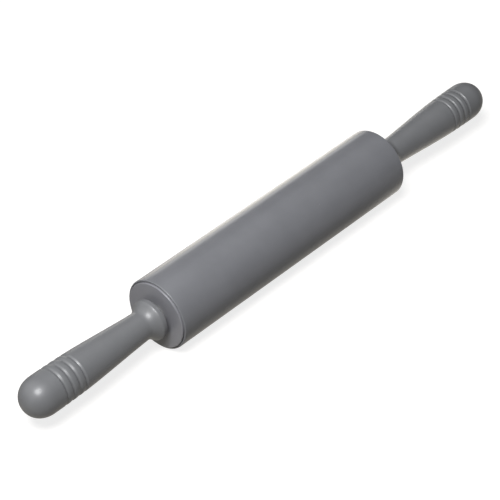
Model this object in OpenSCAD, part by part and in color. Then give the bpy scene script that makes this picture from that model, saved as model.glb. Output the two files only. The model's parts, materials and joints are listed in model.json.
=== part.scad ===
// Silicone rolling pin. A silicone-sleeved roller turns freely on a steel axle, and a
// moulded handle is bolted to each end of the axle. Millimetres. The axle lies along X
// and the origin is at the middle of the pin, on the axle's line.

/* [Roller] */
// Outside diameter of the silicone sleeve
roller_d = 50; // [44:1:60]
// Length of the silicone sleeve
roller_l = 219.2; // [160:0.1:300]
// Thickness of the silicone
sleeve_wall = 2.5; // [2.2:0.1:3.5]
// Width of the thin lip that is left round each end cap
lip_w = 1; // [0.7:0.1:1.4]
// Rounding of the sleeve's outer edge
lip_r = 0.7; // [0.2:0.1:1]
// Wall of the core tube under the silicone
core_wall = 2.5; // [2:0.25:3.5]

/* [End caps] */
// How far a cap stands out of the sleeve
cap_proud = 1.2; // [0.7:0.1:2]
// How far a cap is sunk in the sleeve's end
cap_sunk = 1.2; // [0.6:0.1:1.8]
// Open ring between the cap's edge and the sleeve's lip
cap_gap = 0.5; // [0.3:0.1:0.7]
// Rounding of the cap's front edge
cap_edge = 0.7; // [0.3:0.1:1]
// Length of the spigot that plugs into the core tube
spigot_l = 12; // [8:1:20]
// Wall of the spigot
spigot_wall = 2; // [1.6:0.2:3]
// Wall of the hub that holds the bush
hub_wall = 2.4; // [2:0.2:4]
// Number of ribs from hub to spigot
rib_n = 8; // [4:1:12]
// Thickness of a rib
rib_t = 1.6; // [1.2:0.2:2.4]
// Depth of a rib along the axle
rib_h = 9; // [6:0.5:12]

/* [Axle and bushes] */
// Diameter of the axle in the roller
axle_d = 8; // [7:0.5:10]
// Diameter of the axle's ends, in the handles
axle_end_d = 6; // [5:0.5:6.5]
// Depth of the flat that stops a handle from turning on the axle
flat_cut = 0.6; // [0.4:0.1:1]
// Wall of a bush
bush_wall = 2.5; // [2:0.25:3.5]
// Length of a bush in its hub
bush_l = 16; // [10:1:24]
// Width of the bush's collar beyond its body
collar_w = 1.6; // [1:0.2:3]
// Thickness of the bush's collar
collar_t = 1.4; // [1:0.1:2]
// Width of the thrust washer's ring
washer_w = 3.4; // [2.6:0.2:4]
// Thickness of the thrust washer
washer_t = 1; // [0.8:0.1:1.6]
// End play of the roller at each side
end_play = 0.3; // [0.2:0.05:0.5]

/* [Handles] */
// Length of a handle, from its flange to its tip
handle_l = 110.3; // [98:0.1:140]
// Diameter of the bulb at the outer end
bulb_d = 27.4; // [26:0.2:32]
// Length of the rounded dome
dome_l = 15.4; // [11:0.1:20]
// Diameter of the neck, where the handle is thinnest
neck_d = 19.8; // [18:0.2:22]
// Diameter of the flange that faces the roller
flange_d = 28.4; // [26:0.2:32]
// Length of the flare from neck to flange
flare_l = 11.4; // [9:0.2:14]
// Width of the plain rim round the flange
rim_w = 1; // [1:0.1:2]
// Rounding of the rim's back edge
rim_round = 0.8; // [0.2:0.1:0.8]
// Distance from the tip to the first ring groove, where the domed end is fitted
groove_at = 24.1; // [22:0.1:27]
// Number of ring grooves
groove_n = 4; // [2:1:5]
// Spacing of the ring grooves
groove_pitch = 5.5; // [4:0.5:6.5]
// Width of a ring groove
groove_w = 2.3; // [1.4:0.1:3]
// Depth of a ring groove
groove_d = 0.6; // [0.3:0.05:0.8]
// How far a band falls away from its crown to the grooves beside it
band_drop = 0.15; // [0.05:0.05:0.3]

/* [Inside the handles] */
// Bore of the bulb, closed by the domed end
cup_d = 19; // [18:0.25:20]
// Depth of the bore from the first ring groove
cup_depth = 33.6; // [30:0.2:38]
// Thickness of the domed end's roof
roof_t = 5; // [4:0.5:8]
// Length of the domed end's spigot
plug_l = 8; // [6:0.5:12]
// Wall of the domed end's spigot
plug_wall = 2; // [1.6:0.2:2.6]
// Diameter of the inner tube round the axle
tube_d = 12.8; // [12.4:0.1:13.4]
// Length of the hollow round that tube
pocket_l = 24; // [16:1:30]
// Wall of the handle round the hollow
shell_wall = 2.5; // [2:0.1:3]
// Number of ribs across the hollow
web_n = 4; // [3:1:6]
// Thickness of a rib across the hollow
web_t = 2; // [1.4:0.2:2.6]
// Height of the boss that bears on the axle's shoulder
boss_h = 0.8; // [0.5:0.1:2]
// Depth of the hollow in the flange's back
recess_depth = 6; // [4:0.5:7]
// Wall round the hollow in the flange's back
recess_wall = 1.8; // [1.4:0.1:2.2]

/* [Fixings] */
// Width of a nut across its flats
nut_af = 10; // [9:0.5:11]
// Thickness of a nut
nut_t = 5; // [4:0.5:6]
// Outside diameter of a spring washer
spring_d = 11.8; // [10.8:0.2:12.2]
// Thickness of a spring washer
spring_t = 1.6; // [1.2:0.1:2]
// Cut through a spring washer
spring_cut = 1; // [0.6:0.1:1.4]
// How far the axle stands out of a nut
axle_tail = 2; // [1:0.5:4]

/* [Clearances] */
// Radial running clearance of the axle in a bush
run_gap = 0.06; // [0.03:0.01:0.1]
// Clearance between pieces that are pressed or plugged together
seat_gap = 0.05; // [0.02:0.01:0.1]
// Radial clearance of a washer or nut on the axle
loose_gap = 0.1; // [0.05:0.01:0.2]

/* [Hidden] */
$fn = 120;

// Colours, as the real finishes look
silicone_colour = "#7d7e84";
moulded_colour = "#76777b";
cap_colour = "#6f7074";
core_colour = "#d8d8d4";
bush_colour = "#f0eee6";
steel_colour = "#b9bcc0";
zinc_colour = "#c9ccc9";

// Cuts run past the faces they open by this much
overrun = 1;
// Chamfer on turned and moulded edges that lead into a hole
lead = 0.5;

// Radii
roller_r = roller_d / 2;
core_r = roller_r - sleeve_wall;
core_in_r = core_r - core_wall;
rebate_r = roller_r - lip_w;
cap_r = rebate_r - cap_gap;
axle_r = axle_d / 2;
axle_end_r = axle_end_d / 2;
bush_in_r = axle_r + run_gap;
bush_r = bush_in_r + bush_wall;
collar_r = bush_r + collar_w;
hub_r = bush_r + hub_wall;
spigot_r = core_in_r - seat_gap;
washer_in_r = axle_r + loose_gap;
washer_r = washer_in_r + washer_w;
boss_r = washer_r;
bulb_r = bulb_d / 2;
neck_r = neck_d / 2;
flange_r = flange_d / 2;
cup_r = cup_d / 2;
tube_r = tube_d / 2;
plug_r = cup_r - seat_gap;
plug_in_r = plug_r - plug_wall;
handle_bore_r = axle_end_r + seat_gap;

// Shape of the handle's outline. The dome is an ellipse at 1 and fuller in the shoulder
// below it. The straight part of the bulb, as a share of the way
// from the dome to the first groove, and the slope into the neck, where 0 runs level
// into it and 1 is as steep as the straight line from bulb to neck
dome_round_share = 0.93;
bulb_flat_share = 1.22;
neck_slope_share = 0.93;
// How far the flare's two handles reach along it, as shares of its length
flare_reach_share = 0.3;
rim_reach_share = 0.18;
// Sides of each curve of the outline
dome_steps = 20;
bulb_steps = 3;
band_steps = 6;
notch_steps = 10;
taper_steps = 28;
flare_steps = 18;
edge_steps = 6;

// Places along the axle, from the middle of the pin
sleeve_end = roller_l / 2;
core_end = sleeve_end - cap_sunk;
cap_face = sleeve_end + cap_proud;
collar_face = cap_face + collar_t;
washer_at = collar_face + end_play;
shoulder = washer_at + washer_t;
flange_at = shoulder + boss_h;
tip_at = flange_at + handle_l;
bush_end = cap_face - bush_l;

// Places along a handle, from its tip
neck_at = handle_l - flare_l;
rim_at = handle_l - rim_w;
taper_at = dome_l + (groove_at - dome_l) * bulb_flat_share;
taper_l = neck_at - taper_at;
grooves_end = groove_at + (groove_n - 1) * groove_pitch + groove_w / 2;
cup_floor = groove_at + cup_depth;
pocket_end = cup_floor + pocket_l;
nut_seat = cup_floor - spring_t;
axle_end = nut_seat - nut_t - axle_tail;

// Radius of the handle between dome and neck, without its grooves. The taper is a curve
// that leaves the bulb level and reaches the neck at the slope given above
function taper_share(s) = (3 - neck_slope_share) * pow(s, 2) - (2 - neck_slope_share) * pow(s, 3);
function grip_r(u) = u <= taper_at ? bulb_r
    : bulb_r - (bulb_r - neck_r) * taper_share((u - taper_at) / taper_l);

// A groove has a round floor and crisp shoulders, and a band between two grooves falls
// away to both of them
function groove_pos(i) = groove_at + i * groove_pitch;
function notch(s) = groove_d * cos(90 * s);
function before_drop(i, s) = i > 0 ? band_drop * (1 - s) / 2 : 0;
function after_drop(i, s) = i < groove_n - 1 ? band_drop * (1 + s) / 2 : 0;
function notch_points(i, from, to) = [for (k = [from:to])
    let (s = 2 * k / notch_steps - 1, u = groove_pos(i) + s * groove_w / 2)
    [u, grip_r(u) - notch(s) - before_drop(i, s) - after_drop(i, s)]];
function band_points(i) = [for (k = [1:band_steps - 1])
    let (s = 2 * k / band_steps - 1,
        u = groove_pos(i) + groove_pitch / 2 + s * (groove_pitch - groove_w) / 2)
    [u, grip_r(u) - band_drop * pow(s, 2)]];

function dome_points() = [for (k = [0:dome_steps])
    let (a = 90 * k / dome_steps)
    [dome_l * (1 - pow(cos(a), dome_round_share)), bulb_r * pow(sin(a), dome_round_share)]];

function bezier(p, t) = pow(1 - t, 3) * p[0] + 3 * t * pow(1 - t, 2) * p[1]
    + 3 * pow(t, 2) * (1 - t) * p[2] + pow(t, 3) * p[3];

// The flare starts at the neck's slope and runs level into the rim
neck_slope = neck_slope_share * (bulb_r - neck_r) / taper_l;
flare_reach = flare_reach_share * flare_l;
rim_reach = rim_reach_share * flare_l;
flare_curve = [[neck_at, neck_r],
    [neck_at + flare_reach, neck_r - neck_slope * flare_reach],
    [rim_at - rim_reach, flange_r],
    [rim_at, flange_r]];
function flare_points() = [for (k = [1:flare_steps]) bezier(flare_curve, k / flare_steps)];
function rim_points() = [for (k = [0:edge_steps])
    let (a = 90 * k / edge_steps)
    [handle_l - rim_round * (1 - sin(a)), flange_r - rim_round * (1 - cos(a))]];

// Outline of the gripped part, from the first groove's middle to the flange's back
function grip_points() = concat(
    notch_points(0, notch_steps / 2, notch_steps),
    [for (i = [0:groove_n - 2]) each concat(band_points(i),
        notch_points(i + 1, 0, notch_steps))],
    [for (k = [1:taper_steps])
        let (u = grooves_end + (neck_at - grooves_end) * k / taper_steps) [u, grip_r(u)]],
    flare_points(),
    rim_points());

// Outline of the domed end, from its tip to the first groove's middle
function end_points() = concat(dome_points(),
    [for (k = [1:bulb_steps - 1])
        [dome_l + (groove_at - groove_w / 2 - dome_l) * k / bulb_steps, bulb_r]],
    notch_points(0, 0, notch_steps / 2));

// Quarter-round edge: from the face inwards to the side, as [radius, place] points
function round_edge(r, face, rad) = [for (k = [0:edge_steps])
    let (a = 90 * k / edge_steps)
    [r - rad * (1 - sin(a)), face - rad * (1 - cos(a))]];

// Adds the other half of an outline, for a piece that is the same at both ends
function both_halves(half) = concat(half,
    [for (i = [len(half) - 1:-1:0]) [half[i][0], -half[i][1]]]);

// Revolves [radius, place] points about the axle's line, on the side asked for
module on_axle(side) {
    mirror([side < 0 ? 1 : 0, 0, 0]) rotate([0, 90, 0]) children();
}
module turned(side, points) {
    on_axle(side) rotate_extrude() polygon(points);
}
// A ring between two places on the axle's line
module ring(r_out, r_in, from, to) {
    translate([0, 0, from]) difference() {
        cylinder(r = r_out, h = to - from);
        translate([0, 0, -overrun]) cylinder(r = r_in, h = to - from + 2 * overrun);
    }
}

// Silicone sleeve: a tube with a rounded lip and a rebate for the cap at each end
module silicone_sleeve() {
    half = concat(
        [[core_r + seat_gap, core_end], [rebate_r, core_end], [rebate_r, sleeve_end]],
        round_edge(roller_r, sleeve_end, min(lip_r, lip_w)));
    color(silicone_colour) turned(1, both_halves(half));
}

// Core tube: carries the sleeve and takes a cap's spigot at each end
module core_tube() {
    half = [[core_in_r, core_end - lead], [core_in_r + lead, core_end], [core_r, core_end]];
    color(core_colour) turned(1, both_halves(half));
}

// End cap: a flat disc on a spigot, with a ribbed hub for the bush behind it
module end_cap(side) {
    edge = min(cap_edge, cap_proud);
    spigot_end = core_end - spigot_l;
    disc = concat(
        [[bush_r + seat_gap, core_end], [bush_r + seat_gap, cap_face]],
        round_edge(cap_r, cap_face, edge),
        [[cap_r, core_end]]);
    spigot = [[spigot_r - spigot_wall, spigot_end], [spigot_r - lead, spigot_end],
        [spigot_r, spigot_end + lead], [spigot_r, core_end], [spigot_r - spigot_wall, core_end]];
    color(cap_colour) union() {
        turned(side, disc);
        turned(side, spigot);
        on_axle(side) ring(hub_r, bush_r + seat_gap, bush_end, core_end);
        on_axle(side) for (i = [0:rib_n - 1])
            rotate([0, 0, 360 * i / rib_n])
                translate([hub_r - hub_wall / 2, -rib_t / 2, core_end - rib_h])
                    cube([spigot_r - spigot_wall / 2 - hub_r + hub_wall / 2, rib_t, rib_h]);
    }
}

// Bush: pressed in the cap's hub, turns on the axle, with a collar against the cap
module bush(side) {
    color(bush_colour) turned(side, [
        [bush_in_r, bush_end], [bush_r - lead, bush_end], [bush_r, bush_end + lead],
        [bush_r, cap_face], [collar_r, cap_face], [collar_r, collar_face - lead],
        [collar_r - lead, collar_face], [bush_in_r, collar_face]]);
}

// Axle: a rod with a shoulder and a flatted end at each side
module axle() {
    end_at = tip_at - axle_end;
    flat_end = tip_at - cup_floor;
    half = [[axle_r, shoulder], [axle_end_r, shoulder], [axle_end_r, end_at - lead],
        [axle_end_r - lead, end_at], [0, end_at]];
    color(steel_colour) difference() {
        turned(1, both_halves(half));
        for (side = [-1, 1])
            on_axle(side)
                translate([axle_end_r - flat_cut, -axle_end_r, shoulder])
                    cube([axle_end_r, axle_end_d, flat_end - shoulder]);
    }
}

// Thrust washer: keeps the turning bush off the handle's boss
module thrust_washer(side) {
    color(bush_colour) on_axle(side) ring(washer_r, washer_in_r, washer_at, shoulder);
}

// Hollow round the handle's inner tube, parted by its ribs
module pocket() {
    pocket_r = grip_r(pocket_end) - shell_wall;
    difference() {
        ring(pocket_r, tube_r, tip_at - pocket_end, tip_at - cup_floor + overrun);
        for (i = [0:web_n - 1])
            rotate([0, 0, 360 * i / web_n])
                translate([0, -web_t / 2, tip_at - pocket_end - overrun])
                    cube([bulb_r, web_t, pocket_l + 3 * overrun]);
    }
}

// Bore for the axle's end, with the flat that keys the handle to it
module keyed_bore() {
    difference() {
        translate([0, 0, shoulder - overrun])
            cylinder(r = handle_bore_r, h = tip_at - cup_floor - shoulder + 2 * overrun);
        translate([axle_end_r - flat_cut + seat_gap, -bulb_r, shoulder - 2 * overrun])
            cube([bulb_r, bulb_d, tip_at - cup_floor - shoulder + 4 * overrun]);
    }
}

// Handle: ringed bulb, long taper, neck and flange, with the nut's bore in the bulb
module handle(side) {
    outline = [for (p = grip_points()) [p[1], tip_at - p[0]]];
    recess_floor = flare_floor_r() - recess_wall;
    back = [[boss_r, flange_at], [boss_r, shoulder], [0, shoulder]];
    color(moulded_colour) difference() {
        turned(side, concat([[0, tip_at - groove_at]], outline, back));
        on_axle(side) translate([0, 0, tip_at - cup_floor])
            cylinder(r = cup_r, h = cup_depth + overrun);
        on_axle(side) pocket();
        on_axle(side) keyed_bore();
        turned(side, [[boss_r, flange_at - overrun], [flange_r - recess_wall, flange_at - overrun],
            [flange_r - recess_wall, flange_at], [recess_floor, flange_at + recess_depth],
            [boss_r, flange_at + recess_depth]]);
    }
}
// Radius of the flare at the depth of the hollow in the flange's back
function flare_floor_r() = max([for (p = flare_points()) if (p[0] <= handle_l - recess_depth) p[1]]);

// Domed end: plugs into the bulb's bore and covers the nut
module handle_end(side) {
    seam = tip_at - groove_at + seat_gap;
    plug_end = tip_at - groove_at - plug_l;
    outline = [for (p = end_points()) [p[1], max(tip_at - p[0], seam)]];
    color(moulded_colour) turned(side, concat(outline,
        [[plug_r, seam], [plug_r, plug_end + lead], [plug_r - lead, plug_end],
        [plug_in_r, plug_end], [plug_in_r, tip_at - roof_t - lead],
        [plug_in_r - lead, tip_at - roof_t], [0, tip_at - roof_t]]));
}

// Spring washers: split rings under the nuts
module spring_washers() {
    from = tip_at - cup_floor;
    color(zinc_colour) for (side = [-1, 1]) on_axle(side) difference() {
        ring(spring_d / 2, axle_end_r + loose_gap, from, from + spring_t);
        translate([0, -spring_cut / 2, from - overrun])
            cube([spring_d, spring_cut, spring_t + 2 * overrun]);
    }
}

// Nuts: chamfered hexagons that clamp the handles on the axle's shoulders
module axle_nuts() {
    corner_r = nut_af / 2 / cos(30);
    from = tip_at - nut_seat;
    color(zinc_colour) for (side = [-1, 1]) on_axle(side) difference() {
        intersection() {
            translate([0, 0, from]) cylinder(r = corner_r, h = nut_t, $fn = 6);
            rotate_extrude() polygon([[0, from], [corner_r - lead, from], [corner_r, from + lead],
                [corner_r, from + nut_t - lead], [corner_r - lead, from + nut_t], [0, from + nut_t]]);
        }
        translate([0, 0, from - overrun])
            cylinder(r = axle_end_r + seat_gap, h = nut_t + 2 * overrun);
    }
}

silicone_sleeve();
core_tube();
end_cap(-1);  // end_cap_left
end_cap(1);  // end_cap_right
bush(-1);  // bush_left
bush(1);  // bush_right
axle();
thrust_washer(-1);  // thrust_washer_left
thrust_washer(1);  // thrust_washer_right
handle(-1);  // handle_left
handle(1);  // handle_right
handle_end(-1);  // handle_end_left
handle_end(1);  // handle_end_right
spring_washers();
axle_nuts();
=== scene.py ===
# Silicone rolling pin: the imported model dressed, lit and framed as a studio shot
import json
import math

import bmesh
import bpy
from mathutils import Matrix, Vector

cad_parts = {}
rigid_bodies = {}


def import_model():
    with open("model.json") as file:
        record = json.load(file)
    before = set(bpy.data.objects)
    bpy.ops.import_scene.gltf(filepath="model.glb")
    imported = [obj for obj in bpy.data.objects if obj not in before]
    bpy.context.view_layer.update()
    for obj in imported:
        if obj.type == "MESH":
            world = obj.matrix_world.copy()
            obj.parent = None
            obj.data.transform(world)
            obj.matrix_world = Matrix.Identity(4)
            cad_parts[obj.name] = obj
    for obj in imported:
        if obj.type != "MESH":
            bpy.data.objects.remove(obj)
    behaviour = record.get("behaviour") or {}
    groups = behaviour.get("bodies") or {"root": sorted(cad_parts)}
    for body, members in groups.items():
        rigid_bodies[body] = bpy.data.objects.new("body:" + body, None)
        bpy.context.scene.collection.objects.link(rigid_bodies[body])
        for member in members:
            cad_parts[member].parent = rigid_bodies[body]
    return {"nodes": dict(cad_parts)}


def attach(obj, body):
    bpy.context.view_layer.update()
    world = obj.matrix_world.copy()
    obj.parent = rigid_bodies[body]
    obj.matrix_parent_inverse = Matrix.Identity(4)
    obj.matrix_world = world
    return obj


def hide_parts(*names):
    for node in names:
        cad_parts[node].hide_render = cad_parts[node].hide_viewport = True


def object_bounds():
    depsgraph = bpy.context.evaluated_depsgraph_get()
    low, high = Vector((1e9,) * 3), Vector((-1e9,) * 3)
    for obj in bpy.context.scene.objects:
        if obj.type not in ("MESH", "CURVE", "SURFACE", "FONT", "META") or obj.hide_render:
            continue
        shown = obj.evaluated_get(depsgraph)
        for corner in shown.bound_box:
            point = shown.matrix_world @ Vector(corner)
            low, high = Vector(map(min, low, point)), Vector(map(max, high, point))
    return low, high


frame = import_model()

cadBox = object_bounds()
mm = 0.001
print("frame loaded:", len(frame["nodes"]), "nodes")


# Camera

cameraSet = {
    "lens": 144.80,          # mm, a long product lens
    "sensor": 36.0,          # mm, width of its frame
    "distance": 1.33784,     # m from the middle of the pin
    "azimuth": -48.5350,     # degrees round from the front
    "elevation": 37.9500,    # degrees above the floor
    "pan": 0.6130,           # degrees that the frame is turned off the pin's middle
    "tilt": -0.4230,         # degrees that it is tipped
    "clip": (0.05, 20.0),    # m
}


def addCamera():
    azimuth = math.radians(cameraSet["azimuth"])
    elevation = math.radians(cameraSet["elevation"])
    back = Vector((math.sin(azimuth) * math.cos(elevation),
                   -math.cos(azimuth) * math.cos(elevation), math.sin(elevation)))
    right = Vector((math.cos(azimuth), math.sin(azimuth), 0))
    up = back.cross(right)
    aim = Matrix((right, up, back)).transposed()
    pan = Matrix.Rotation(math.radians(cameraSet["pan"]), 3, "Y")
    tilt = Matrix.Rotation(math.radians(cameraSet["tilt"]), 3, "X")
    data = bpy.data.cameras.new("photoCamera")
    data.lens = cameraSet["lens"]
    data.sensor_width = cameraSet["sensor"]
    data.clip_start, data.clip_end = cameraSet["clip"]
    camera = bpy.data.objects.new("photoCamera", data)
    bpy.context.scene.collection.objects.link(camera)
    camera.matrix_world = (Matrix.Translation(back * cameraSet["distance"])
                           @ (aim @ pan @ tilt).to_4x4())
    bpy.context.scene.camera = camera


addCamera()
print("camera placed")


# Modelling: every turned piece is drawn as half an outline and spun round the axle.
# Lengths in the pieces' sets are mm

turningSet = {
    "sides": 256,            # faces round a turned piece
    "smoothUnder": 28,       # degrees, an edge sharper than this stays crisp
    "edgeSteps": 8,          # faces along a rounded edge
    "weld": 0.0005,          # mm, doubles closer than this are one
    "near": 0.01,            # mm, a corner this close to a line counts as on it
}


def drawTurned(name, outline):
    # The outline holds (place along the axle, radius) in mm and is drawn point by point
    bpy.ops.object.select_all(action="DESELECT")
    bpy.ops.mesh.primitive_plane_add(size=mm)
    piece = bpy.context.object
    piece.name = piece.data.name = name
    bpy.ops.object.mode_set(mode="EDIT")
    bpy.ops.mesh.merge(type="CENTER")
    bpy.ops.transform.translate(value=(outline[0][0] * mm, 0, outline[0][1] * mm))
    for here, there in zip(outline, outline[1:]):
        bpy.ops.mesh.extrude_region_move(TRANSFORM_OT_translate={
            "value": ((there[0] - here[0]) * mm, 0, (there[1] - here[1]) * mm)})
    if outline[0][1] > 0 or outline[-1][1] > 0:    # off the axle, so the outline is closed
        selectVerts(lambda place, index: index in (0, len(outline) - 1))
        bpy.ops.mesh.edge_face_add()
    bpy.ops.mesh.select_all(action="SELECT")
    bpy.ops.mesh.spin(steps=turningSet["sides"], angle=math.tau, center=(0, 0, 0),
                      axis=(1, 0, 0))
    bpy.ops.mesh.select_all(action="SELECT")
    bpy.ops.mesh.remove_doubles(threshold=turningSet["weld"] * mm)
    bpy.ops.mesh.normals_make_consistent(inside=False)
    return piece


def selectVerts(wanted):
    # Takes the corners that are wanted, by their place in mm and their number
    mesh = bmesh.from_edit_mesh(bpy.context.object.data)
    mesh.verts.ensure_lookup_table()
    for vert in mesh.verts:
        vert.select_set(False)
    for vert in mesh.verts:
        if wanted(vert.co / mm, vert.index):
            vert.select_set(True)
    mesh.select_flush(True)
    bmesh.update_edit_mesh(bpy.context.object.data)


def selectFaces(wanted):
    # Takes the faces whose corners are all wanted
    bpy.ops.mesh.select_mode(type="FACE")
    mesh = bmesh.from_edit_mesh(bpy.context.object.data)
    for face in mesh.faces:
        face.select_set(all(wanted(vert.co / mm) for vert in face.verts))
    mesh.select_flush_mode()
    bmesh.update_edit_mesh(bpy.context.object.data)


def finishPiece(piece):
    bpy.ops.mesh.select_mode(type="VERT")
    bpy.ops.mesh.select_all(action="SELECT")
    bpy.ops.mesh.normals_make_consistent(inside=False)
    bpy.ops.object.mode_set(mode="OBJECT")
    bpy.ops.object.shade_smooth_by_angle(angle=math.radians(turningSet["smoothUnder"]))
    return piece


def mirroredCopy(piece, name):
    # The other end's piece: a copy with its own mesh, turned over in edit mode
    bpy.ops.object.select_all(action="DESELECT")
    bpy.context.view_layer.objects.active = piece
    piece.select_set(True)
    bpy.ops.object.duplicate(linked=False)
    twin = bpy.context.object
    twin.name = twin.data.name = name
    bpy.ops.object.mode_set(mode="EDIT")
    bpy.ops.mesh.select_all(action="SELECT")
    bpy.ops.transform.resize(value=(-1, 1, 1), center_override=(0, 0, 0))
    return finishPiece(twin)


def stepped(start, end, steps):
    # Evenly spaced values, both ends included
    return [start + (end - start) * k / steps for k in range(steps + 1)]


def quarter(steps):
    # Evenly spaced angles of a quarter turn
    return [math.pi / 2 * k / steps for k in range(steps + 1)]


def roundEdge(place, radius, rounding):
    # Quarter round from an end face at that place to the side at that radius
    return [(place - rounding * (1 - math.cos(a)), radius - rounding * (1 - math.sin(a)))
            for a in quarter(turningSet["edgeSteps"])]


# Silicone sleeve

sleeveSet = {
    "radius": 25.0,
    "length": 219.2,
    "wall": 2.5,
    "lip": 1.0,              # thin rim left round each end cap
    "rounding": 0.7,         # of its outer edge
    "sunk": 1.2,             # depth of the rebate that the cap sits in
    "gap": 0.05,             # left round the core tube
    "spans": 12,             # rows of faces from the middle to each end
}


def makeSleeve():
    s = sleeveSet
    end = s["length"] / 2
    floor = end - s["sunk"]
    inner, rebate = s["radius"] - s["wall"] + s["gap"], s["radius"] - s["lip"]
    half = [(floor, inner), (floor, rebate), (end, rebate)]
    half += roundEdge(end, s["radius"], s["rounding"])
    spread = [(end * k / s["spans"], s["radius"])
              for k in range(s["spans"] - 1, -s["spans"], -1)]
    outline = half + spread + [(-x, r) for x, r in reversed(half)]
    return finishPiece(drawTurned("siliconeSleeve", outline))


# End caps

capSet = {
    "face": 110.8,           # place of the flat face
    "radius": 23.5,
    "edge": 0.7,             # rounding of the front edge
    "bore": 6.61,            # where the bush is pressed in
    "hub": 8.96,
    "hubEnd": 94.8,
    "back": 108.4,           # where the disc sits on the core tube
    "spigot": (19.95, 17.95),    # outer and inner radius of what plugs into the tube
    "spigotEnd": 96.4,
    "lead": 0.5,             # chamfer that leads it in
    "ribs": 8,               # behind the disc, from hub to spigot
    "ribWidth": 1.6,
    "ribDepth": 9.0,
}


def makeCap():
    c = capSet
    outer, inner = c["spigot"]
    ribEnd = c["back"] - c["ribDepth"]
    outline = ([(c["face"], c["bore"]), (c["face"], (c["bore"] + c["radius"]) / 2)]
               + roundEdge(c["face"], c["radius"], c["edge"])
               + [(c["back"], c["radius"]), (c["back"], outer),
                  (c["spigotEnd"] + c["lead"], outer), (c["spigotEnd"], outer - c["lead"]),
                  (c["spigotEnd"], inner), (ribEnd, inner), (c["back"], inner),
                  (c["back"], c["hub"]), (ribEnd, c["hub"]), (c["hubEnd"], c["hub"]),
                  (c["hubEnd"], c["bore"])])
    piece = drawTurned("endCapRight", outline)
    near = turningSet["near"]

    def inRib(place):
        # In one of the strips behind the disc where a rib stands
        radius = math.hypot(place.y, place.z)
        turn = math.tau / c["ribs"]
        off = (math.atan2(place.y, place.z) + turn / 2) % turn - turn / 2
        return (abs(place.x - c["back"]) < near and c["hub"] - near < radius < inner + near
                and abs(off) * (c["hub"] + inner) / 2 < c["ribWidth"] / 2 + near)

    selectFaces(inRib)
    bpy.ops.mesh.extrude_region_move(
        TRANSFORM_OT_translate={"value": (-c["ribDepth"] * mm, 0, 0)})
    bpy.ops.mesh.select_all(action="SELECT")
    bpy.ops.mesh.remove_doubles(threshold=turningSet["weld"] * mm)
    bpy.ops.mesh.select_all(action="DESELECT")
    bpy.ops.mesh.select_interior_faces()
    bpy.ops.mesh.delete(type="FACE")
    return finishPiece(piece)


# Handles: each is a ringed grip and the domed end that closes its bore

handleSet = {
    "tip": 224.6,            # place of the tip along the axle
    "length": 110.3,         # from tip to flange; further values count from the tip
    "bulb": 13.7,            # radii
    "neck": 9.9,
    "flange": 14.2,
    "dome": 15.4,            # length of the rounded end
    "domeRound": 0.93,       # an ellipse at 1, fuller in the shoulder below it
    "flatShare": 1.22,       # how far the straight of the bulb runs towards the first groove
    "neckSlope": 0.93,       # how steeply the taper still falls at the neck
    "flare": 11.4,
    "flareReach": 0.38,      # how far the flare's two ends run on, as shares of its length
    "rimReach": 0.11,
    "rim": 2.8,              # plain band round the flange's edge, wider than the solid's
    "rimRounding": 0.5,      # of the flange's rear edge, tighter than the solid's
    "grooves": 4,
    "grooveAt": 24.1,        # the first one, in which the domed end meets the grip
    "groovePitch": 5.5,
    "grooveWidth": 2.3,
    "grooveDepth": 0.6,
    "bandDrop": 0.15,        # bands fall away to the grooves by this much
    "cup": 9.5,              # bore of the bulb, in which the nut is turned
    "cupFloor": 57.7,
    "tube": 6.4,             # round the axle
    "pocket": (8.25, 24.0),  # outer radius and depth of the hollow round the tube
    "web": 2.0,              # thickness of the ribs across that hollow
    "bore": 3.05,
    "flat": 2.45,            # distance of the keying flat from the axle's line
    "boss": 7.5,             # bears on the thrust washer
    "bossHeight": 0.8,
    "recess": 6.0,           # hollow of the flange's back
    "recessWall": 1.8,
    "plug": (9.45, 7.45),    # outer and inner radius of the domed end's spigot
    "plugLength": 8.0,
    "roof": 5.0,
    "lead": 0.5,
    "seam": 0.05,            # open line between domed end and grip
    "ringSteps": 72,         # rows of faces over the grooves
    "taperSteps": 40,        # from there to the neck
    "flareSteps": 36,
    "rimSteps": 12,
    "domeSteps": 40,
    "shoulderSteps": 6,      # from the dome to the first groove
    "seamSteps": 10,         # down the groove to the seam
}


def taperStart():
    h = handleSet
    return h["dome"] + (h["grooveAt"] - h["dome"]) * h["flatShare"]


def gripRadius(u):
    # Plain grip at u from the tip: straight bulb, then a taper that starts level and ends at
    # the neck's slope
    h = handleSet
    start = taperStart()
    share = max(0.0, (u - start) / (h["length"] - h["flare"] - start))
    fall = (3 - h["neckSlope"]) * share ** 2 - (2 - h["neckSlope"]) * share ** 3
    return h["bulb"] - (h["bulb"] - h["neck"]) * fall


def ringedRadius(u):
    # The grip's radius with its grooves: round floors, crisp shoulders, bands that fall away
    h = handleSet
    radius = gripRadius(u)
    last = h["grooveAt"] + (h["grooves"] - 1) * h["groovePitch"]
    nearest = min(max(round((u - h["grooveAt"]) / h["groovePitch"]), 0), h["grooves"] - 1)
    off = (u - h["grooveAt"] - nearest * h["groovePitch"]) / (h["grooveWidth"] / 2)
    if abs(off) < 1:
        radius -= h["grooveDepth"] * math.cos(math.pi / 2 * off)
        if h["grooveAt"] < u < last:
            radius -= h["bandDrop"]
    elif h["grooveAt"] < u < last:
        passed = math.floor((u - h["grooveAt"]) / h["groovePitch"])
        middle = h["grooveAt"] + (passed + 0.5) * h["groovePitch"]
        radius -= h["bandDrop"] * (2 * (u - middle) / (h["groovePitch"] - h["grooveWidth"])) ** 2
    return radius


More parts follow.
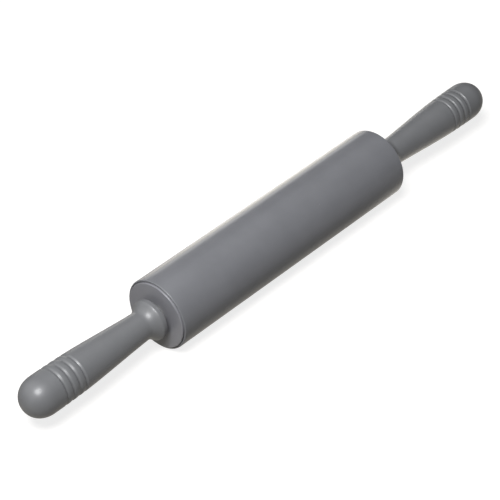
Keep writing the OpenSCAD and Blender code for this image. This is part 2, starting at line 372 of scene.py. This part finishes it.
def flarePoints():
    # A curve from the neck, along its slope, to the band round the flange
    h = handleSet
    neckAt, rimAt = h["length"] - h["flare"], h["length"] - h["rim"]
    slope = h["neckSlope"] * (h["bulb"] - h["neck"]) / (neckAt - taperStart())
    reach, rimReach = h["flareReach"] * h["flare"], h["rimReach"] * h["flare"]
    pulls = [Vector((neckAt, h["neck"])), Vector((neckAt + reach, h["neck"] - slope * reach)),
             Vector((rimAt - rimReach, h["flange"])), Vector((rimAt, h["flange"]))]
    points = []
    for t in stepped(0, 1, h["flareSteps"])[1:]:
        p = (pulls[0] * (1 - t) ** 3 + pulls[1] * 3 * t * (1 - t) ** 2
             + pulls[2] * 3 * t ** 2 * (1 - t) + pulls[3] * t ** 3)
        points.append((p.x, p.y))
    return points


def makeGrip():
    h = handleSet
    ringsEnd = h["grooveAt"] + (h["grooves"] - 1) * h["groovePitch"] + h["grooveWidth"] / 2
    neckAt = h["length"] - h["flare"]
    flare = flarePoints()
    outside = [(u, ringedRadius(u)) for u in stepped(h["grooveAt"], ringsEnd, h["ringSteps"])]
    outside += [(u, gripRadius(u)) for u in stepped(ringsEnd, neckAt, h["taperSteps"])[1:]]
    outside += flare
    rim = [(h["length"] - h["rimRounding"] * (1 - math.sin(a)),
            h["flange"] - h["rimRounding"] * (1 - math.cos(a)))
           for a in quarter(h["rimSteps"])]
    floorAt = h["length"] - h["recess"]
    floorRadius = max(r for u, r in flare if u <= floorAt) - h["recessWall"]
    bossAt = h["length"] + h["bossHeight"]
    inside = [(h["length"], h["flange"] - h["recessWall"]), (floorAt, floorRadius),
              (floorAt, h["boss"]), (bossAt, h["boss"]), (bossAt, h["bore"]),
              (h["cupFloor"], h["bore"]), (h["cupFloor"], h["tube"]),
              (h["cupFloor"], h["pocket"][0]), (h["cupFloor"], h["cup"]),
              (h["grooveAt"], h["cup"])]
    piece = drawTurned("handleGripRight", [(h["tip"] - u, r) for u, r in outside + rim + inside])
    near = turningSet["near"]
    floorPlace = h["tip"] - h["cupFloor"]
    pocketRadius, pocketDepth = h["pocket"]

    def inPocket(place):
        # On the cup's floor, between the ribs that cross the hollow
        radius = math.hypot(place.y, place.z)
        return (abs(place.x - floorPlace) < near
                and h["tube"] - near < radius < pocketRadius + near
                and min(abs(place.y), abs(place.z)) > h["web"] / 2)

    selectFaces(inPocket)
    bpy.ops.mesh.extrude_region_move(
        TRANSFORM_OT_translate={"value": (-pocketDepth * mm, 0, 0)})
    bpy.ops.mesh.select_mode(type="VERT")    # the bore is pressed flat where the axle is keyed
    selectVerts(lambda place, index: math.hypot(place.y, place.z) < h["bore"] + near
                and place.z < -h["flat"])
    bpy.ops.transform.resize(value=(1, 1, 0), center_override=(0, 0, -h["flat"] * mm))
    return finishPiece(piece)


def makeDome():
    h = handleSet
    outside = [(h["dome"] * (1 - max(0, math.cos(a)) ** h["domeRound"]),
                h["bulb"] * math.sin(a) ** h["domeRound"]) for a in quarter(h["domeSteps"])]
    notchAt, seamAt = h["grooveAt"] - h["grooveWidth"] / 2, h["grooveAt"] - h["seam"]
    outside += [(u, gripRadius(u)) for u in stepped(h["dome"], notchAt, h["shoulderSteps"])[1:]]
    outside += [(u, ringedRadius(u)) for u in stepped(notchAt, seamAt, h["seamSteps"])[1:]]
    plug, inner = h["plug"]
    plugEnd = h["grooveAt"] + h["plugLength"]
    inside = [(seamAt, plug), (plugEnd - h["lead"], plug), (plugEnd, plug - h["lead"]),
              (plugEnd, inner), (h["roof"] + h["lead"], inner),
              (h["roof"], inner - h["lead"]), (h["roof"], 0)]
    piece = drawTurned("domedEndRight", [(h["tip"] - u, r) for u, r in outside + inside])
    return finishPiece(piece)


sleeve = makeSleeve()
capRight = makeCap()
capLeft = mirroredCopy(capRight, "endCapLeft")
gripRight = makeGrip()
gripLeft = mirroredCopy(gripRight, "handleGripLeft")
domeRight = makeDome()
domeLeft = mirroredCopy(domeRight, "domedEndLeft")

for piece, body, replaced, slot in (
        (sleeve, "roller", "silicone_sleeve", "silicone"),
        (capLeft, "roller", "end_cap_left", "moulded_cap"),
        (capRight, "roller", "end_cap_right", "moulded_cap"),
        (gripLeft, "handles_and_axle", "handle_left", "moulded_grip"),
        (gripRight, "handles_and_axle", "handle_right", "moulded_grip"),
        (domeLeft, "handles_and_axle", "handle_end_left", "moulded_grip"),
        (domeRight, "handles_and_axle", "handle_end_right", "moulded_grip")):
    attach(piece, body)
    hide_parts(replaced)
print("pieces modelled: sleeve, end caps, grips and domed ends")


# Colours and nodes

def toLinear(hexColour):
    # From sRGB hex to the linear values that nodes take
    channels = [int(hexColour[i:i + 2], 16) / 255 for i in (1, 3, 5)]
    linear = [c / 12.92 if c <= 0.04045 else ((c + 0.055) / 1.055) ** 2.4 for c in channels]
    return (*linear, 1.0)


def addNode(tree, kind, settings=None, links=None):
    # Adds one node; settings name its properties or sockets, links name what feeds a socket
    node = tree.nodes.new(kind)
    for name, value in (settings or {}).items():
        if isinstance(name, str) and hasattr(node, name):
            setattr(node, name, value)
        else:
            node.inputs[name].default_value = value
    for name, socket in (links or {}).items():
        tree.links.new(socket, node.inputs[name])
    return node


def newMaterial(name):
    material = bpy.data.materials.new(name)
    material.use_nodes = True
    tree = material.node_tree
    tree.nodes.clear()
    output = addNode(tree, "ShaderNodeOutputMaterial")
    return material, tree, output


patternSet = {
    "cloud": {"Detail": 3.0, "Roughness": 0.55},    # slow changes of tone
    "cloudEnds": (0.3, 0.7),     # values of it that give the two colours
    "skin": {"Detail": 2.0, "Roughness": 0.5},      # the grain left by the mould or tool
    "skinEnds": (0.25, 0.75),    # values of it that give the two roughnesses
    "marks": {"Detail": 2.0},
    "drawnOut": (0.02, 1, 1),    # lines along the axle are 50 times as long as wide
    "speckCore": 0.6,            # share of a dust speck that is as pale as it gets
}


def surfaceMaterial(name, look):
    # A cloudy tone, a fine skin and, where the look has them, tool marks and dust.
    # Sizes in a look are mm on the object
    look = {**plainLook, **look}
    material, tree, output = newMaterial(name)
    place = addNode(tree, "ShaderNodeTexCoord").outputs["Object"]
    cloud = addNode(tree, "ShaderNodeTexNoise", {
        "Scale": 1 / (look["cloudSize"] * mm), **patternSet["cloud"]}, {"Vector": place})
    skin = addNode(tree, "ShaderNodeTexNoise", {
        "Scale": 1 / (look["skinSize"] * mm), **patternSet["skin"]}, {"Vector": place})
    tone = addNode(tree, "ShaderNodeMapRange", {
        "From Min": patternSet["cloudEnds"][0], "From Max": patternSet["cloudEnds"][1]},
        {"Value": cloud.outputs[0]})
    colour = addNode(tree, "ShaderNodeMix", {
        "data_type": "RGBA", 6: toLinear(look["shade"]), 7: toLinear(look["colour"])},
        {0: tone.outputs[0]}).outputs[2]
    rough = addNode(tree, "ShaderNodeMapRange", {
        "From Min": patternSet["skinEnds"][0], "From Max": patternSet["skinEnds"][1],
        "To Min": look["roughness"][0], "To Max": look["roughness"][1]},
        {"Value": skin.outputs[0]})
    height = skin.outputs[0]
    if "specks" in look:
        # Dust that clings: one small pale speck in some of the cells of a coarse pattern
        speck = look["specks"]
        edge = speck["size"] / speck["apart"]
        cells = addNode(tree, "ShaderNodeTexVoronoi", {"Scale": 1 / (speck["apart"] * mm)},
                        {"Vector": place})
        chosen = addNode(tree, "ShaderNodeMath", {"operation": "LESS_THAN", 1: speck["share"]},
                         {0: cells.outputs["Color"]})
        near = addNode(tree, "ShaderNodeMapRange", {
            "From Min": edge, "From Max": patternSet["speckCore"] * edge,
            "To Max": speck["strength"]}, {"Value": cells.outputs["Distance"]})
        dusty = addNode(tree, "ShaderNodeMath", {"operation": "MULTIPLY"},
                        {0: chosen.outputs[0], 1: near.outputs[0]})
        colour = addNode(tree, "ShaderNodeMix", {
            "data_type": "RGBA", 7: toLinear(speck["colour"])},
            {0: dusty.outputs[0], 6: colour}).outputs[2]
    if "marks" in look:
        # Faint rings or lines left by the tool, from noise drawn out along the tool's way
        marks = look["marks"]
        grain = {"Scale": 1 / (marks["size"] * mm), **patternSet["marks"]}
        if marks["round"]:
            split = addNode(tree, "ShaderNodeSeparateXYZ", links={0: place})
            across = addNode(tree, "ShaderNodeCombineXYZ", links={
                "X": split.outputs["Y"], "Y": split.outputs["Z"]})
            radius = addNode(tree, "ShaderNodeVectorMath", {"operation": "LENGTH"},
                             {0: across.outputs[0]})
            drawn = addNode(tree, "ShaderNodeTexNoise", {"noise_dimensions": "1D", **grain},
                            {"W": radius.outputs["Value"]})
        else:
            along = addNode(tree, "ShaderNodeMapping", {"Scale": patternSet["drawnOut"]},
                            {"Vector": place})
            drawn = addNode(tree, "ShaderNodeTexNoise", grain,
                            {"Vector": along.outputs["Vector"]})
        height = addNode(tree, "ShaderNodeMix", {0: marks["share"]},
                         {2: height, 3: drawn.outputs[0]}).outputs[0]
    bump = addNode(tree, "ShaderNodeBump", {
        "Strength": look["bump"], "Distance": look["bumpDepth"] * mm}, {"Height": height})
    shader = addNode(tree, "ShaderNodeBsdfPrincipled", {
        "IOR": look["ior"], "Metallic": look["metallic"], "Specular IOR Level": look["gloss"],
        "Coat Weight": look["coat"], "Coat Roughness": look["film"]},
        {"Base Color": colour, "Roughness": rough.outputs[0], "Normal": bump.outputs[0]})
    tree.links.new(shader.outputs["BSDF"], output.inputs["Surface"])
    return material


# What a look has where it says nothing else. Coat and film are the weight and roughness of
# the glossier skin that moulding leaves
plainLook = {"ior": 1.5, "metallic": 0.0, "gloss": 0.5, "coat": 0.0, "film": 0.2}

# Each look is what the real surface is, and what that gives the eye. The real grain of these
# skins is under 0.1 mm and a dust speck under 0.2 mm, too fine to show, so both are drawn
# coarser, and so are the marks of the tools
looks = {
    # Silicone rubber, moulded against a fine-blasted tool: satin, cool grey, and it holds dust
    "siliconeRubber": {
        "colour": "#7b7c80", "shade": "#76777b", "cloudSize": 18.0, "skinSize": 0.5,
        "roughness": (0.42, 0.50), "bump": 0.12, "bumpDepth": 0.05,
        "ior": 1.41, "gloss": 0.6, "coat": 0.36, "film": 0.15,
        "specks": {"apart": 9.0, "size": 0.45, "share": 0.3, "strength": 0.3,
                   "colour": "#b9babc"}},
    # Injection-moulded polypropylene with a soft satin texture: an even grey, calm highlights
    "satinPolypropylene": {
        "colour": "#767779", "shade": "#727375", "cloudSize": 14.0, "skinSize": 0.4,
        "roughness": (0.42, 0.50), "bump": 0.1, "bumpDepth": 0.04,
        "ior": 1.49, "gloss": 0.6, "coat": 0.24, "film": 0.22},
    # The same plastic off a turned mould, cut at about 0.2 mm a turn: faint rings round the
    # middle of the cap's face
    # Painted light: the cap's colour is set lighter than the grips' same plastic, standing in for
    # light falling on the cap's face
    "turnedMouldPolypropylene": {
        "colour": "#88888d", "shade": "#848489", "cloudSize": 14.0, "skinSize": 0.4,
        "roughness": (0.38, 0.46), "bump": 0.12, "bumpDepth": 0.04,
        "ior": 1.49, "gloss": 0.6, "coat": 0.32, "film": 0.15,
        "marks": {"round": True, "size": 0.7, "share": 0.6}},
    # Extruded natural polypropylene: milky, with faint lines along the tube from the die
    "extrudedPolypropylene": {
        "colour": "#dadad6", "shade": "#d3d3ce", "cloudSize": 12.0, "skinSize": 0.5,
        "roughness": (0.36, 0.44), "bump": 0.15, "bumpDepth": 0.05, "ior": 1.49,
        "marks": {"round": False, "size": 0.6, "share": 0.7}},
    # Natural nylon, moulded smooth: warm ivory with a soft gloss
    "naturalNylon": {
        "colour": "#f1efe7", "shade": "#ebe8de", "cloudSize": 6.0, "skinSize": 0.4,
        "roughness": (0.30, 0.38), "bump": 0.08, "bumpDepth": 0.03, "ior": 1.53},
    # Bright drawn mild steel: fine lines along the rod, slightly oiled
    "drawnSteel": {
        "colour": "#bdc0c4", "shade": "#b3b6ba", "cloudSize": 10.0, "skinSize": 0.4,
        "roughness": (0.22, 0.34), "bump": 0.2, "bumpDepth": 0.03, "metallic": 1.0,
        "marks": {"round": False, "size": 0.3, "share": 0.8}},
    # Zinc-plated steel: pale grey with a bluish, slightly cloudy passivation
    "zincPlatedSteel": {
        "colour": "#c9ccce", "shade": "#bfc4c8", "cloudSize": 3.0, "skinSize": 0.5,
        "roughness": (0.28, 0.42), "bump": 0.15, "bumpDepth": 0.03, "metallic": 1.0},
}
materials = {name: surfaceMaterial(name, look) for name, look in looks.items()}

finishes = {
    "siliconeSleeve": "siliconeRubber", "endCap": "turnedMouldPolypropylene",
    "handleGrip": "satinPolypropylene", "domedEnd": "satinPolypropylene",
    "core_tube": "extrudedPolypropylene", "bush": "naturalNylon", "thrust_washer": "naturalNylon",
    "axle": "drawnSteel", "axle_nuts": "zincPlatedSteel", "spring_washers": "zincPlatedSteel",
}
for piece in bpy.context.scene.objects:
    for start, finish in finishes.items():    # the nuts start as the axle does, and come later
        if piece.type == "MESH" and piece.name.startswith(start):
            piece.data.materials.clear()
            piece.data.materials.append(materials[finish])
print("materials made:", ", ".join(looks))


# Studio

floorSet = {
    "size": 12.0,
    "colour": "#646260",
    "seenColour": "#a09e9b",    # what the camera sees of it, before its glow
    "whiteGlow": 0.8,        # lifts the lit floor to white in the picture
    "frontGlow": 0.19,       # what reflections see of it round the pin
    "underGlow": 0.34,       # what they see more of it close under the pin
    "underEdge": (0.022, 0.044),    # m off the axle's line over which that fades
    "bounce": "#fffaf0",     # warm tint of what reflections see
}
poolSet = {
    "azimuth": 36.4,         # degrees from +Y to +X, where the pin's upper edge mirrors
    "glow": 2.35,            # brightness of the pool of light on the backdrop there
    "band": (0.05, 0.22),    # m off that line over which the floor's pool fades
    "starts": (0.02, 0.12),  # m behind the pin over which it sets in
    "height": 2.0,           # degrees above the horizon of its middle on the backdrop
    "spread": (3.0, 11.0),   # degrees from there over which it fades
}


def addFloor():
    # Lit as plain paper; what the camera and reflections see besides is glow
    bpy.ops.object.select_all(action="DESELECT")
    bpy.ops.mesh.primitive_plane_add(size=floorSet["size"], location=(0, 0, cadBox[0].z))
    floor = bpy.context.object
    floor.name = "studioFloor"
    material, tree, output = newMaterial("studioFloor")
    path = addNode(tree, "ShaderNodeLightPath")
    paint = addNode(tree, "ShaderNodeMix", {
        "data_type": "RGBA", 6: toLinear(floorSet["colour"]), 7: toLinear(floorSet["seenColour"])},
        {0: path.outputs["Is Camera Ray"]})
    diffuse = addNode(tree, "ShaderNodeBsdfDiffuse", links={"Color": paint.outputs[2]})
    place = addNode(tree, "ShaderNodeTexCoord")
    turned = addNode(tree, "ShaderNodeMapping", {
        "Rotation": (0, 0, math.radians(poolSet["azimuth"]))}, {"Vector": place.outputs["Object"]})
    split = addNode(tree, "ShaderNodeSeparateXYZ", links={0: turned.outputs[0]})
    off = addNode(tree, "ShaderNodeMath", {"operation": "ABSOLUTE"}, {0: split.outputs["X"]})
    across = addNode(tree, "ShaderNodeMapRange", {
        "interpolation_type": "SMOOTHSTEP", "To Min": 1.0, "To Max": 0.0,
        "From Min": poolSet["band"][0], "From Max": poolSet["band"][1]}, {"Value": off.outputs[0]})
    behind = addNode(tree, "ShaderNodeMapRange", {
        "interpolation_type": "SMOOTHSTEP", "To Max": poolSet["glow"],
        "From Min": poolSet["starts"][0], "From Max": poolSet["starts"][1]},
        {"Value": split.outputs["Y"]})
    straight = addNode(tree, "ShaderNodeSeparateXYZ", links={0: place.outputs["Object"]})
    beside = addNode(tree, "ShaderNodeMath", {"operation": "ABSOLUTE"}, {0: straight.outputs["Y"]})
    under = addNode(tree, "ShaderNodeMapRange", {
        "interpolation_type": "SMOOTHSTEP",
        "From Min": floorSet["underEdge"][0], "From Max": floorSet["underEdge"][1],
        "To Min": floorSet["frontGlow"] + floorSet["underGlow"], "To Max": floorSet["frontGlow"]},
        {"Value": beside.outputs[0]})
    pool = addNode(tree, "ShaderNodeMath", {"operation": "MULTIPLY_ADD"},
                   {0: across.outputs[0], 1: behind.outputs[0], 2: under.outputs[0]})
    mirrored = addNode(tree, "ShaderNodeMath", {"operation": "MULTIPLY"},
                       {0: path.outputs["Is Glossy Ray"], 1: pool.outputs[0]})
    seen = addNode(tree, "ShaderNodeMath", {"operation": "MULTIPLY_ADD", 1: floorSet["whiteGlow"]},
                   {0: path.outputs["Is Camera Ray"], 2: mirrored.outputs[0]})
    tint = addNode(tree, "ShaderNodeMix", {
        "data_type": "RGBA", 6: (1, 1, 1, 1), 7: toLinear(floorSet["bounce"])},
        {0: path.outputs["Is Glossy Ray"]})
    glow = addNode(tree, "ShaderNodeEmission", links={
        "Color": tint.outputs[2], "Strength": seen.outputs[0]})
    both = addNode(tree, "ShaderNodeAddShader", links={0: diffuse.outputs[0], 1: glow.outputs[0]})
    tree.links.new(both.outputs[0], output.inputs["Surface"])
    floor.data.materials.append(material)


lampSet = {    # directions are from the pin's middle, distances and sizes in m
    "softBox": {"direction": (-0.455, -0.20, 0.868), "distance": 1.45, "size": 0.72,
                "watts": 25.4},
    "sideFill": {"direction": (-0.96, 0.0, 0.27), "distance": 1.7, "size": 1.0, "watts": 1.9},
    "overheadPanel": {"direction": (0.59, 0.14, 0.80), "distance": 1.7, "size": 1.1,
                      "watts": 0.9},
}
lampColour = (0.985, 0.99, 1.0)    # linear, a little cooler than white


def addLamps():
    for name, lampIs in lampSet.items():
        direction = Vector(lampIs["direction"]).normalized()
        data = bpy.data.lights.new(name, "AREA")
        data.shape = "DISK"
        data.size = lampIs["size"]
        data.energy = lampIs["watts"]
        data.color = lampColour
        lamp = bpy.data.objects.new(name, data)
        lamp.location = direction * lampIs["distance"]
        lamp.rotation_mode = "QUATERNION"
        lamp.rotation_quaternion = (-direction).to_track_quat("-Z", "Y")
        bpy.context.scene.collection.objects.link(lamp)


roomSet = {
    "ceiling": (-0.28, 0.70, 0.66),    # way to a pale ceiling behind the lamp, seen only in gloss
    "glow": 0.8,
    "spread": (14.0, 42.0),  # degrees from there over which it fades
    "ambient": 0.05,         # light from all round
}


def addWorld():
    # The camera sees plain white; reflections see the pool, the ceiling and the ambient
    world = bpy.data.worlds.new("studio")
    bpy.context.scene.world = world
    world.use_nodes = True
    tree = world.node_tree
    tree.nodes.clear()
    path = addNode(tree, "ShaderNodeLightPath")
    way = addNode(tree, "ShaderNodeTexCoord")
    azimuth, height = math.radians(poolSet["azimuth"]), math.radians(poolSet["height"])
    centre = (math.sin(azimuth) * math.cos(height), math.cos(azimuth) * math.cos(height),
              math.sin(height))
    toward = addNode(tree, "ShaderNodeVectorMath", {"operation": "DOT_PRODUCT", 1: centre},
                     {0: way.outputs["Generated"]})
    inner, outer = (math.cos(math.radians(angle)) for angle in poolSet["spread"])
    pool = addNode(tree, "ShaderNodeMapRange", {
        "interpolation_type": "SMOOTHSTEP", "From Min": outer, "From Max": inner,
        "To Max": poolSet["glow"]}, {"Value": toward.outputs["Value"]})
    overhead = addNode(tree, "ShaderNodeVectorMath", {
        "operation": "DOT_PRODUCT", 1: Vector(roomSet["ceiling"]).normalized()},
        {0: way.outputs["Generated"]})
    inner, outer = (math.cos(math.radians(angle)) for angle in roomSet["spread"])
    ceiling = addNode(tree, "ShaderNodeMapRange", {
        "interpolation_type": "SMOOTHSTEP", "From Min": outer, "From Max": inner,
        "To Max": roomSet["glow"]}, {"Value": overhead.outputs["Value"]})
    glows = addNode(tree, "ShaderNodeMath", {"operation": "ADD"},
                    {0: pool.outputs[0], 1: ceiling.outputs[0]})
    mirrored = addNode(tree, "ShaderNodeMath", {
        "operation": "MULTIPLY_ADD", 2: roomSet["ambient"]},
        {0: path.outputs["Is Glossy Ray"], 1: glows.outputs[0]})
    seen = addNode(tree, "ShaderNodeMath", {"operation": "MAXIMUM"},
                   {0: path.outputs["Is Camera Ray"], 1: mirrored.outputs[0]})
    sky = addNode(tree, "ShaderNodeBackground", {"Color": (1, 1, 1, 1)},
                  {"Strength": seen.outputs[0]})
    output = addNode(tree, "ShaderNodeOutputWorld")
    tree.links.new(sky.outputs[0], output.inputs["Surface"])


addFloor()
addLamps()
addWorld()
bpy.context.scene.view_settings.view_transform = "Standard"
print("studio lit")
